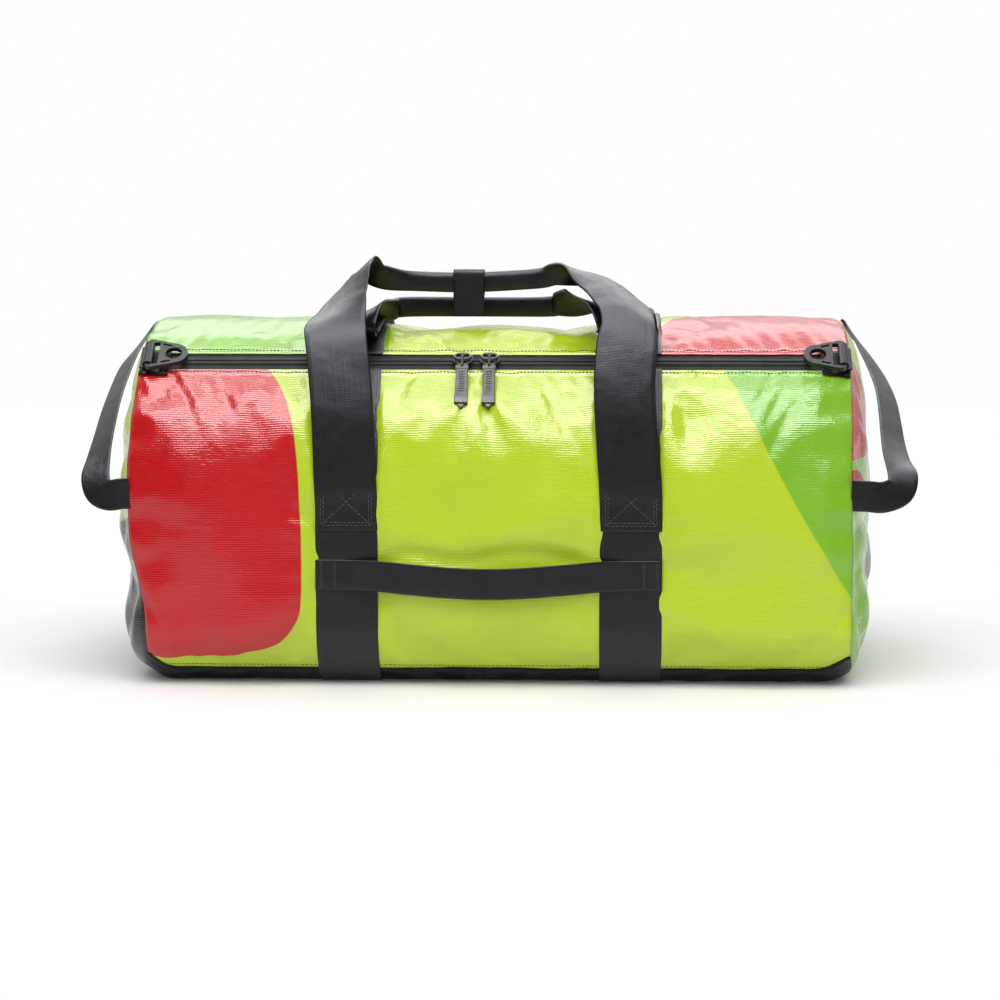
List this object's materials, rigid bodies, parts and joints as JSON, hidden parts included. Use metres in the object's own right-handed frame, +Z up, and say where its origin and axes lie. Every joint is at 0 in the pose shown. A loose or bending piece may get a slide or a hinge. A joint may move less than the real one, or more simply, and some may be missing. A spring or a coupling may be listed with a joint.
{
  "type": "barrel holdall bag",
  "caption": "Barrel-shaped zipped holdall of glossy coated fabric with black webbing carry handles, grab handles, a wrap and moulded strap rings.",
  "frame": {"origin": "middle of the underside, on the surface that the bag stands on", "axes": "+X along the bag to its right end, +Y to the back, +Z up; the front with the zip and the front grab handle faces -Y"},
  "size_m": [0.6822, 0.3234, 0.3493],
  "materials": {
    "lime_tarpaulin": "glossy coated cloth, lime with red and mid-green printed areas",
    "black_tarpaulin": "glossy coated cloth",
    "webbing": "close woven, slight sheen",
    "zip_tape": "fine woven tape",
    "zip_teeth": "coiled nylon, satin",
    "moulded_plastic": "moulded, satin",
    "cord": "braided"
  },
  "bodies": {
    "bag": {"base_panel": "black_tarpaulin", "front_panel": "lime_tarpaulin", "back_panel": "lime_tarpaulin", "end_panel_left": "lime_tarpaulin", "end_panel_right": "lime_tarpaulin", "top_panel_left": "lime_tarpaulin", "top_panel_right": "lime_tarpaulin", "front_webbing_left": "webbing", "front_webbing_right": "webbing", "back_webbing_left": "webbing", "back_webbing_right": "webbing", "zip_tape_front": "zip_tape", "zip_teeth_front": "zip_teeth", "zip_tape_rear_left": "zip_tape", "zip_tape_rear_right": "zip_tape", "zip_teeth_rear_left": "zip_teeth", "zip_teeth_rear_right": "zip_teeth", "zip_end_tab_left": "black_tarpaulin", "zip_end_tab_right": "black_tarpaulin", "ring_loop_left": "webbing", "ring_loop_right": "webbing", "front_handle_ends": "webbing", "grab_handle_ends": "webbing", "end_handle_left_ends": "webbing", "end_handle_right_ends": "webbing"},
    "flap": {"top_panel": "lime_tarpaulin", "top_webbing_left": "webbing", "top_webbing_right": "webbing", "zip_tape_rear": "zip_tape", "zip_teeth_rear": "zip_teeth", "rear_handle_ends": "webbing", "ridge_patch": "black_tarpaulin"},
    "front_handle": {"front_handle": "webbing", "handle_wrap": "webbing"},
    "rear_handle": {"rear_handle": "webbing"},
    "slider_left": {"zip_slider_left": "moulded_plastic"},
    "slider_right": {"zip_slider_right": "moulded_plastic"},
    "pull_left": {"pull_cord_left": "cord", "zip_pull_left": "moulded_plastic"},
    "pull_right": {"pull_cord_right": "cord", "zip_pull_right": "moulded_plastic"},
    "ring_left": {"strap_ring_left": "moulded_plastic"},
    "ring_right": {"strap_ring_right": "moulded_plastic"},
    "end_handle_left": {"end_handle_left": "webbing"},
    "end_handle_right": {"end_handle_right": "webbing"},
    "grab_handle": {"grab_handle": "webbing"}
  },
  "joints": [
    {"name": "mouth_open", "type": "hinge", "parent": "bag", "child": "flap", "pos_m": [0, 0.0873, 0.26767], "axis": [-1, 0, 0], "range_deg": [0, 40]},
    {"name": "slider_left_slide", "type": "slide", "parent": "bag", "child": "slider_left", "axis": [1, 0, 0], "range_m": [-0.212, 0]},
    {"name": "slider_right_slide", "type": "slide", "parent": "bag", "child": "slider_right", "axis": [1, 0, 0], "range_m": [0, 0.242]},
    {"name": "front_handle_swing", "type": "hinge", "parent": "bag", "child": "front_handle", "pos_m": [0, -0.1535, 0.172], "axis": [1, 0, 0], "range_deg": [0, 150]},
    {"name": "rear_handle_swing", "type": "hinge", "parent": "flap", "child": "rear_handle", "pos_m": [0, 0.0195, 0.299], "axis": [-1, 0, 0], "range_deg": [0, 80]},
    {"name": "pull_left_flip", "type": "hinge", "parent": "slider_left", "child": "pull_left", "pos_m": [-0.026, -0.10356, 0.26386], "axis": [-1, 0, 0], "range_deg": [0, 150]},
    {"name": "pull_right_flip", "type": "hinge", "parent": "slider_right", "child": "pull_right", "pos_m": [-0.004, -0.10356, 0.26386], "axis": [-1, 0, 0], "range_deg": [0, 150]},
    {"name": "ring_left_swing", "type": "hinge", "parent": "bag", "child": "ring_left", "pos_m": [-0.283, -0.0966, 0.26664], "axis": [0, -0.788, -0.6157], "range_deg": [0, 160]},
    {"name": "ring_right_swing", "type": "hinge", "parent": "bag", "child": "ring_right", "pos_m": [0.283, -0.0966, 0.26664], "axis": [0, 0.788, 0.6157], "range_deg": [0, 160]},
    {"name": "end_handle_left_swing", "type": "hinge", "parent": "bag", "child": "end_handle_left", "pos_m": [-0.299, -0.1488, 0.158], "axis": [0, 0.843, 0.5379], "range_deg": [-20, 12]},
    {"name": "end_handle_right_swing", "type": "hinge", "parent": "bag", "child": "end_handle_right", "pos_m": [0.299, -0.1488, 0.158], "axis": [0, 0.843, 0.5379], "range_deg": [-12, 20]},
    {"name": "grab_handle_swing", "type": "hinge", "parent": "bag", "child": "grab_handle", "pos_m": [0, -0.153, 0.093], "axis": [1, 0, 0], "range_deg": [-20, 20]}
  ],
  "couplings": [
    {"joint": "slider_left_slide", "follows": "mouth_open", "m_per_rad": -0.30364},
    {"joint": "slider_right_slide", "follows": "mouth_open", "m_per_rad": 0.3466},
    {"joint": "front_handle_swing", "follows": "mouth_open", "ratio": 3.75},
    {"joint": "rear_handle_swing", "follows": "mouth_open", "ratio": 2}
  ]
}
